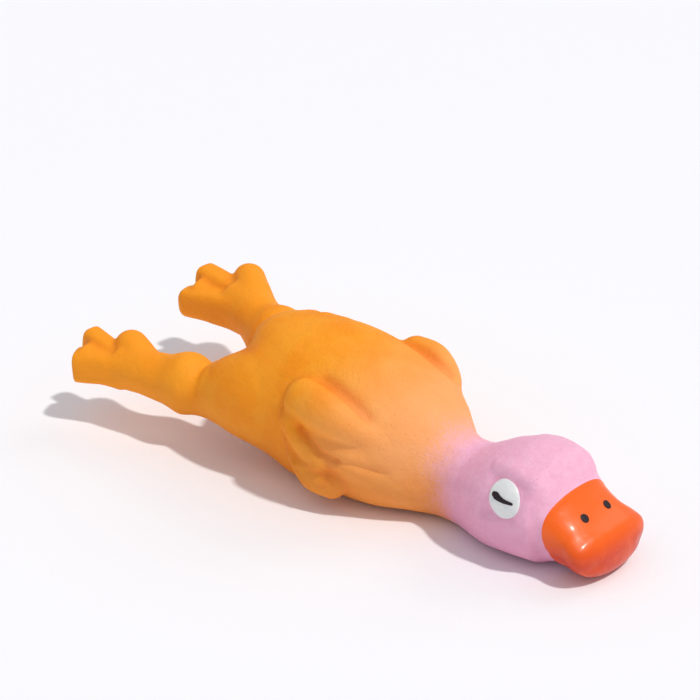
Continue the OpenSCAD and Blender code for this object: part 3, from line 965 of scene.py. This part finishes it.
class SqueakyPaints(bpy.types.PropertyGroup):
    """Colours of the bird's paints and plastics."""
    orange: colour("Orange", "Main colour of the body", (253, 151, 20))
    orange_light: colour("Light orange", "Where the body's airbrushing is thin", (255, 164, 36))
    # Partly the latex's own duller tone and partly painted shade low on the body
    dull_orange_and_shade: colour("Side orange", "Duller orange low on the flanks", (212, 116, 32))
    # Painted shade in the creases and grooves
    crease_shade: colour("Crease", "Airbrushed orange in the creases", (226, 108, 14))
    foot: colour("Foot", "Deeper orange of the feet", (255, 158, 30))
    peach: colour("Peach", "Where orange meets pink on the neck", (255, 178, 120))
    pink: colour("Pink", "Main colour of the head", (247, 181, 209))
    pink_light: colour("Light pink", "Thinner pink", (252, 195, 220))
    # Painted shade of the pink, in the hollows and low on the head
    pink_shade: colour("Deep pink", "Pink in the head's hollows", (214, 138, 172))
    bill: colour("Bill", "Main colour of the bill", (253, 102, 2))
    # Painted shade low on the bill
    bill_shade: colour("Bill underside", "Redder orange low on the bill", (204, 40, 2))
    bill_light: colour("Light bill", "Thinner coat on the bill", (255, 104, 16))
    white: colour("Eye white", "Enamel of the eye", (240, 242, 240))
    white_shade: colour("Eye shade", "Brush marks in the white", (222, 228, 226))
    dark: colour("Dark paint", "Slits of the eyes and nostrils", (34, 18, 26))
    dark_shade: colour("Dark shade", "Brush marks in the dark paint", (46, 28, 34))
    speck: colour("Specks", "Dirt in the pores", (150, 84, 34))
    worn: colour("Worn spots", "Bare latex where paint has worn", (255, 214, 150))
    fibre: colour("Fibre", "Polyester stuffing", (244, 243, 238))
    fibre_shade: colour("Fibre shade", "Depths of the stuffing", (214, 212, 204))
    ivory: colour("Squeaker", "Polythene of the squeaker", (236, 230, 208))
    ivory_shade: colour("Squeaker shade", "Flow marks in the polythene", (222, 212, 184))
    tube: colour("Reed tube", "Harder plastic of the reed tube", (206, 206, 204))
    tube_shade: colour("Reed tube shade", "Flow marks in the tube", (184, 186, 188))
    film: colour("Reed", "Plastic film of the reed", (88, 92, 98))
    film_shade: colour("Reed shade", "Scuffs on the reed", (64, 66, 72))
    floor: colour("Floor", "Paper that the bird lies on", (251, 252, 255))


class SqueakySizes(bpy.types.PropertyGroup):
    """Sizes of the skin and the paint."""
    wall: bpy.props.FloatProperty(
        name="Wall", description="Thickness of the latex", default=0.0016, min=0.0008, max=0.003,
        unit="LENGTH", subtype="DISTANCE")
    eye_height: bpy.props.FloatProperty(
        name="Eye height", description="How far the white of the eye stands proud", default=0.0006,
        min=0.0001, max=0.002, unit="LENGTH", subtype="DISTANCE")
    paint_height: bpy.props.FloatProperty(
        name="Paint height", description="Thickness of the dark paint", default=0.00025,
        min=0.00005, max=0.001, unit="LENGTH", subtype="DISTANCE")
    belly_hole: bpy.props.FloatProperty(
        name="Belly hole", description="Radius of the filling hole under the patch",
        default=(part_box("belly_patch")[1][0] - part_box("belly_patch")[0][0]) / 2,
        min=0.003, max=0.012, unit="LENGTH", subtype="DISTANCE")


class SqueakyMaker:
    """What the operators share."""
    bl_options = {"REGISTER", "UNDO"}

    @property
    def sizes(self):
        """The sizes that the user may change."""
        return bpy.context.scene.squeaky_sizes

    @property
    def paints(self):
        """The colours that the user may change."""
        return bpy.context.scene.squeaky_paints


def finished(piece, material, slot, *nodes):
    """Gives a piece its material and hides the CAD nodes that it stands for."""
    piece.data.materials.append(material)
    if nodes:
        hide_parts(*nodes)
    return piece


def mm(*place):
    """A place in metres, given in millimetres."""
    return tuple(c * MM for c in place)


# ---------------------------------------------------------------- face, stuffing and squeaker

def egg_outline(radii, lean, count=40):
    """Slightly egg-shaped outline, leaning back by some degrees."""
    a = np.linspace(0, 2 * np.pi, count, endpoint=False)
    u, v = radii[0] * np.cos(a) * (1 - 0.08 * np.sin(a)), radii[1] * np.sin(a)
    c, s = math.cos(math.radians(lean)), math.sin(math.radians(lean))
    return np.column_stack([u * c - v * s, u * s + v * c])


def slit_outline(rows, steps=14):
    """Outline of a brush stroke through rows of place and half width, with round ends."""
    rows = resample(rows, steps)
    along = np.gradient(rows[:, :2], axis=0)
    along /= np.linalg.norm(along, axis=1)[:, None]
    across = np.column_stack([-along[:, 1], along[:, 0]])
    width = rows[:, 2:3]
    ends = []
    for row, way, turn in ((0, -1, 1), (-1, 1, -1)):
        for t in np.linspace(-1, 1, 5)[1:-1]:
            swing = math.radians(-90) * t
            ends.append(rows[row, :2] + width[row] * (
                way * along[row] * math.cos(swing) + turn * across[row] * -math.sin(swing)))
    half = len(ends) // 2
    one, other = rows[:, :2] + across * width, rows[:, :2] - across * width
    return np.vstack([one, ends[half:], other[::-1], ends[:half]])


def fibre_pack(name, node, seed):
    """Lumpy wad of fibre that fills a CAD node's shape."""
    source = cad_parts[node]
    piece = bpy.data.objects.new(name, source.data.copy())
    piece.data.transform(source.matrix_world)
    bpy.context.scene.collection.objects.link(piece)
    even = piece.modifiers.new("even", "REMESH")
    even.mode = "VOXEL"
    even.voxel_size = FIBRE_SPACING * MM
    bpy.context.view_layer.update()
    done = bpy.data.meshes.new_from_object(piece.evaluated_get(bpy.context.evaluated_depsgraph_get()))
    bpy.data.objects.remove(piece)
    points = np.array([tuple(v.co / MM) for v in done.vertices])
    polygons = [tuple(p.vertices) for p in done.polygons]
    bpy.data.meshes.remove(done)
    normals = vertex_normals(points, polygons)
    tufts = sum(depth * (smooth_noise(points, size, seed + k) - 0.6)
                for k, (size, depth) in enumerate(FIBRE_LUMPS))
    points = points + normals * np.minimum(tufts, 0)[:, None]
    return new_piece(name, points, polygons)


def bellows_wall(name, node):
    """Corrugated wall turned about the squeaker's axis, with round folds."""
    low, high = (np.array(c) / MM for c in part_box(node))
    middle, outer = (low + high) / 2, (high[0] - low[0]) / 2
    count = BELLOWS["folds"] * BELLOWS["steps"]
    t = np.linspace(0, 1, count + 1)
    swing = (1 + np.cos(2 * np.pi * BELLOWS["folds"] * t)) / 2
    radius = outer - BELLOWS["depth"] * (1 - swing)
    height = low[2] + (high[2] - low[2]) * t
    profile = np.vstack([np.column_stack([radius, height]),
                         np.column_stack([radius - BELLOWS["wall"], height])[::-1]])
    a = np.linspace(0, 2 * np.pi, BELLOWS["sides"], endpoint=False)
    rings = [np.column_stack([middle[0] + r * np.cos(a), middle[1] + r * np.sin(a), np.full(len(a), z)])
             for r, z in profile]
    sides, turns = len(a), len(rings)
    polygons = [(k * sides + j, k * sides + (j + 1) % sides, (k + 1) % turns * sides + (j + 1) % sides,
                 (k + 1) % turns * sides + j) for k in range(turns) for j in range(sides)]
    return new_piece(name, np.vstack(rings), polygons)


# ---------------------------------------------------------------- stage

def lay_floor(shade):
    """A broad sheet of pale paper under the bird."""
    mesh = bpy.data.meshes.new("floor")
    half = FLOOR["half_side"]
    corners = [(-half, -half, 0), (half, -half, 0), (half, half, 0), (-half, half, 0)]
    mesh.from_pydata(corners, [], [(0, 1, 2, 3)])
    floor = bpy.data.objects.new("floor", mesh)
    bpy.context.scene.collection.objects.link(floor)
    floor.location.z = CAD_BOX[0][2] - FLOOR["drop"]
    finish = Finish("floor_paper")
    place = finish.local()
    grain = finish.cloud(place, 1.5, detail=3.0)
    skin = finish.mix(grain, opaque(shade), opaque(tuple(0.985 * c for c in shade)))
    mesh.materials.append(finish.feed(Base_Color=skin, Roughness=0.8 + grain * 0.1))


def hang_lights():
    """Distant soft lights, and an even pale surround."""
    scene = bpy.context.scene
    for name, azimuth, elevation, spread, power, tint in LIGHTS:
        lamp = bpy.data.lights.new(name, "SUN")
        lamp.angle = math.radians(spread)
        lamp.energy = power
        lamp.color = tint
        light = bpy.data.objects.new(name, lamp)
        away = sight_line(azimuth, elevation)
        light.location = away      # a distant light shines the same from anywhere
        light.rotation_euler = away.to_track_quat("Z", "Y").to_euler()
        scene.collection.objects.link(light)
    scene.world = bpy.data.worlds.new("surround")
    scene.world.use_nodes = True
    tree = scene.world.node_tree
    light = tree.nodes["Background"]
    light.inputs["Color"].default_value = opaque(SURROUND["colour"])
    light.inputs["Strength"].default_value = SURROUND["strength"]
    seen = tree.nodes.new("ShaderNodeBackground")
    seen.inputs["Color"].default_value = opaque(SURROUND["colour"])
    seen.inputs["Strength"].default_value = SURROUND["seen"]
    path = tree.nodes.new("ShaderNodeLightPath")
    choice = tree.nodes.new("ShaderNodeMixShader")
    tree.links.new(path.outputs["Is Camera Ray"], choice.inputs[0])
    tree.links.new(light.outputs[0], choice.inputs[1])
    tree.links.new(seen.outputs[0], choice.inputs[2])
    tree.links.new(choice.outputs[0], tree.nodes["World Output"].inputs["Surface"])
    scene.view_settings.view_transform = "Standard"
    scene.view_settings.look = "None"


def sight_line(azimuth, elevation):
    """Direction from the bird to a viewer: azimuth 0 looks along +Y, in degrees."""
    a, e = math.radians(azimuth), math.radians(elevation)
    return Vector((math.sin(a) * math.cos(e), -math.cos(a) * math.cos(e), math.sin(e)))


def set_camera():
    """Looks down on the bird from ahead of its right side."""
    camera = bpy.data.cameras.new("camera")
    camera.sensor_width = CAMERA["sensor"]
    camera.lens = CAMERA["lens"]
    camera.clip_start = 0.01
    viewer = bpy.data.objects.new("camera", camera)
    middle = Vector(((CAD_BOX[0][k] + CAD_BOX[1][k]) / 2 for k in range(3)))
    away = sight_line(CAMERA["azimuth"], CAMERA["elevation"])
    viewer.location = middle + Vector(CAMERA["aim"]) + away * CAMERA["distance"]
    viewer.rotation_euler = away.to_track_quat("Z", "Y").to_euler()
    bpy.context.scene.collection.objects.link(viewer)
    bpy.context.scene.camera = viewer


# ---------------------------------------------------------------- operators

class SQUEAKY_OT_torso(SqueakyMaker, bpy.types.Operator):
    """Mould the torso with its wings and thighs; its back sinks when squeezed"""
    bl_idname = "squeaky.torso"
    bl_label = "Torso skin"

    def execute(self, context):
        section = skin_section([(HIP_CUT, 1), (NECK_CUT, -1)])
        low, high = (Vector(c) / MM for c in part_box("belly_patch"))
        open_hole(section, (low + high) / 2, self.sizes.belly_hole / MM, high.z + 1)
        piece = shell("torso_skin_latex", section, self.sizes.wall / MM)
        finished(piece, latex("body_latex"), "body_latex", "torso_skin", "back_panel")
        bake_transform(piece, "torso", "back", start=mm(0, 0, BACK_BLEND[0]), end=mm(0, 0, BACK_BLEND[1]))
        return {"FINISHED"}


class SQUEAKY_OT_neck(SqueakyMaker, bpy.types.Operator):
    """Mould the neck, which bends where it leaves the torso"""
    bl_idname = "squeaky.neck"
    bl_label = "Neck skin"

    def execute(self, context):
        section = skin_section([(NECK_CUT, 1), (HEAD_CUT, -1)])
        piece = shell("neck_skin_latex", section, self.sizes.wall / MM)
        finished(piece, latex("body_latex"), "body_latex", "neck_flex", "neck_skin")
        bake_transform(piece, "torso", "neck", start=mm(NECK_BLEND[0], 0, 0), end=mm(NECK_BLEND[1], 0, 0))
        return {"FINISHED"}


class SQUEAKY_OT_head(SqueakyMaker, bpy.types.Operator):
    """Mould the head, which nods on the end of the neck"""
    bl_idname = "squeaky.head"
    bl_label = "Head skin"

    def execute(self, context):
        piece = shell("head_skin_latex", skin_section([(HEAD_CUT, 1)], bill=-1), self.sizes.wall / MM)
        finished(piece, latex("head_latex"), "head_latex", "head_flex", "head_skin")
        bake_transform(piece, "neck", "head", start=mm(HEAD_BLEND[0], 0, 0), end=mm(HEAD_BLEND[1], 0, 0))
        return {"FINISHED"}


class SQUEAKY_OT_bill(SqueakyMaker, bpy.types.Operator):
    """Mould the flat bill"""
    bl_idname = "squeaky.bill"
    bl_label = "Bill skin"

    def execute(self, context):
        piece = shell("bill_skin_latex", skin_section([(HEAD_CUT, 1)], bill=1), self.sizes.wall / MM)
        finished(piece, bill_gloss(), "bill_latex", "bill_skin")
        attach(piece, "head")
        return {"FINISHED"}


class SQUEAKY_OT_legs(SqueakyMaker, bpy.types.Operator):
    """Mould the two legs, which bend at the hip"""
    bl_idname = "squeaky.legs"
    bl_label = "Leg skins"

    def execute(self, context):
        for side, word in SIDE_NAMES.items():
            section = skin_section([(HIP_CUT, -1), (ANKLE_CUT, 1)], side)
            piece = shell(f"{word}_leg_skin_latex", section, self.sizes.wall / MM)
            finished(piece, latex("body_latex"), "body_latex", f"{word}_hip_flex", f"{word}_leg_skin")
            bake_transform(piece, "torso", f"{word}_leg",
                     start=mm(HIP_BLEND[0], 0, 0), end=mm(HIP_BLEND[1], 0, 0))
        return {"FINISHED"}


class SQUEAKY_OT_feet(SqueakyMaker, bpy.types.Operator):
    """Mould the two webbed feet, which bend at the ankle"""
    bl_idname = "squeaky.feet"
    bl_label = "Feet"

    def execute(self, context):
        for side, word in SIDE_NAMES.items():
            section = skin_section([(ANKLE_CUT, -1)], side)
            piece = shell(f"{word}_foot_latex", section, self.sizes.wall / MM)
            finished(piece, latex("foot_latex"), "foot_latex", f"{word}_ankle_flex", f"{word}_foot")
            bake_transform(piece, f"{word}_leg", f"{word}_foot",
                     start=mm(ANKLE_BLEND[0], 0, 0), end=mm(ANKLE_BLEND[1], 0, 0))
        return {"FINISHED"}


class SQUEAKY_OT_face(SqueakyMaker, bpy.types.Operator):
    """Paint the eyes and nostrils as raised dabs"""
    bl_idname = "squeaky.face"
    bl_label = "Eyes and nostrils"

    def execute(self, context):
        white = brushed_paint("eye_paint", self.paints.white, self.paints.white_shade, 0.34, 0.25)
        dark = brushed_paint("dark_paint", self.paints.dark, self.paints.dark_shade, 0.42, 0.02)
        for side, word in SIDE_NAMES.items():
            x, y, z = EYE["centre"]
            centre = (x, side * y + float(head_turn(x)), z)
            facing = (0, side, 0.15)
            outline = egg_outline(EYE["radii"], EYE["lean"])
            eye = dab(f"{word}_eye_white_paint", centre, facing, (1, 0, 0), outline,
                      self.sizes.eye_height / MM, swell=0.5)
            finished(eye, white, "eye_paint", f"{word}_eye_white")
            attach(eye, "head")
            tree = BVHTree.FromPolygons([v.co / MM for v in eye.data.vertices],
                                        [tuple(p.vertices) for p in eye.data.polygons])
            pupil = dab(f"{word}_pupil_paint", centre, facing, (1, 0, 0), slit_outline(PUPIL),
                        self.sizes.paint_height / MM, tree, sunk=0.25)
            finished(pupil, dark, "dark_paint", f"{word}_pupil")
            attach(pupil, "head")
            x, y, z = NOSTRIL["centre"]
            centre = (x, side * y + float(head_turn(x)), z)
            nostril = dab(f"{word}_nostril_paint", centre, (0.4, 0, 1), (1, 0, 0),
                          egg_outline(NOSTRIL["radii"], side * NOSTRIL["lean"]),
                          self.sizes.paint_height / MM, sunk=0.3)
            finished(nostril, dark, "dark_paint", f"{word}_nostril")
            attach(nostril, "head")
        return {"FINISHED"}


class SQUEAKY_OT_stuffing(SqueakyMaker, bpy.types.Operator):
    """Pack fibre round the squeaker and in the head"""
    bl_idname = "squeaky.stuffing"
    bl_label = "Stuffing"

    def execute(self, context):
        fibre = fibre_finish()
        torso = fibre_pack("torso_stuffing_fibre", "torso_stuffing", 1)
        finished(torso, fibre, "fibre", "torso_stuffing")
        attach(torso, "torso")
        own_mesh(torso)
        head = fibre_pack("head_stuffing_fibre", "head_stuffing", 2)
        finished(head, fibre, "fibre", "head_stuffing")
        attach(head, "head")
        return {"FINISHED"}


class SQUEAKY_OT_squeaker(SqueakyMaker, bpy.types.Operator):
    """Blow the squeaker's bellows and finish its moulded parts"""
    bl_idname = "squeaky.squeaker"
    bl_label = "Squeaker"

    def execute(self, context):
        paints = self.paints
        bellows = bellows_wall("squeaker_bellows_wall", "squeaker_bellows")
        ivory = moulded_plastic("bladder_plastic", paints.ivory, paints.ivory_shade, Finish.rest)
        finished(bellows, ivory, "bladder_plastic", "squeaker_bellows")
        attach(bellows, "torso")
        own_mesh(bellows)
        moulded = moulded_plastic("bladder_plastic_cap", paints.ivory, paints.ivory_shade, Finish.local)
        tube = moulded_plastic("tube_plastic", paints.tube, paints.tube_shade, Finish.local, 0.35)
        film = moulded_plastic("reed_film", paints.film, paints.film_shade, Finish.local, 0.15)
        for node, material in (("squeaker_base", moulded), ("squeaker_crown", moulded), ("reed_tube", tube),
                               ("reed_wedge", tube), ("reed", film), ("belly_patch", cast_patch())):
            for material_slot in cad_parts[node].material_slots:
                material_slot.material = material
        return {"FINISHED"}


class SQUEAKY_OT_stage(SqueakyMaker, bpy.types.Operator):
    """Lay the pale floor, hang the soft lights and set the camera"""
    bl_idname = "squeaky.stage"
    bl_label = "Stage"

    def execute(self, context):
        lay_floor(self.paints.floor)
        hang_lights()
        set_camera()
        return {"FINISHED"}


MAKERS = (
    SQUEAKY_OT_torso, SQUEAKY_OT_neck, SQUEAKY_OT_head, SQUEAKY_OT_bill, SQUEAKY_OT_legs, SQUEAKY_OT_feet,
    SQUEAKY_OT_face, SQUEAKY_OT_stuffing, SQUEAKY_OT_squeaker, SQUEAKY_OT_stage,
)


class SQUEAKY_PT_sidebar(bpy.types.Panel):
    """Lists the bird's makers, its sizes and its colours."""
    bl_label = "Squeaky Latex Bird"
    bl_idname = "SQUEAKY_PT_sidebar"
    bl_space_type = "VIEW_3D"
    bl_region_type = "UI"
    bl_category = "Squeaky Bird"

    def draw(self, context):
        for maker in MAKERS:
            self.layout.operator(maker.bl_idname)
        for group in (context.scene.squeaky_sizes, context.scene.squeaky_paints):
            box = self.layout.box()
            for name in group.__annotations__:
                box.prop(group, name)


CLASSES = (SqueakyPaints, SqueakySizes, *MAKERS, SQUEAKY_PT_sidebar)


def register():
    """Makes the operators, the panel and the settings known to Blender."""
    for each in CLASSES:
        bpy.utils.register_class(each)
    bpy.types.Scene.squeaky_paints = bpy.props.PointerProperty(type=SqueakyPaints)
    bpy.types.Scene.squeaky_sizes = bpy.props.PointerProperty(type=SqueakySizes)


def unregister():
    """Takes them away again."""
    del bpy.types.Scene.squeaky_sizes
    del bpy.types.Scene.squeaky_paints
    for each in reversed(CLASSES):
        bpy.utils.unregister_class(each)


def main():
    """Makes the whole bird and its stage."""
    register()
    for maker in MAKERS:
        group, name = maker.bl_idname.split(".")
        getattr(getattr(bpy.ops, group), name)()


if __name__ == "__main__":
    main()
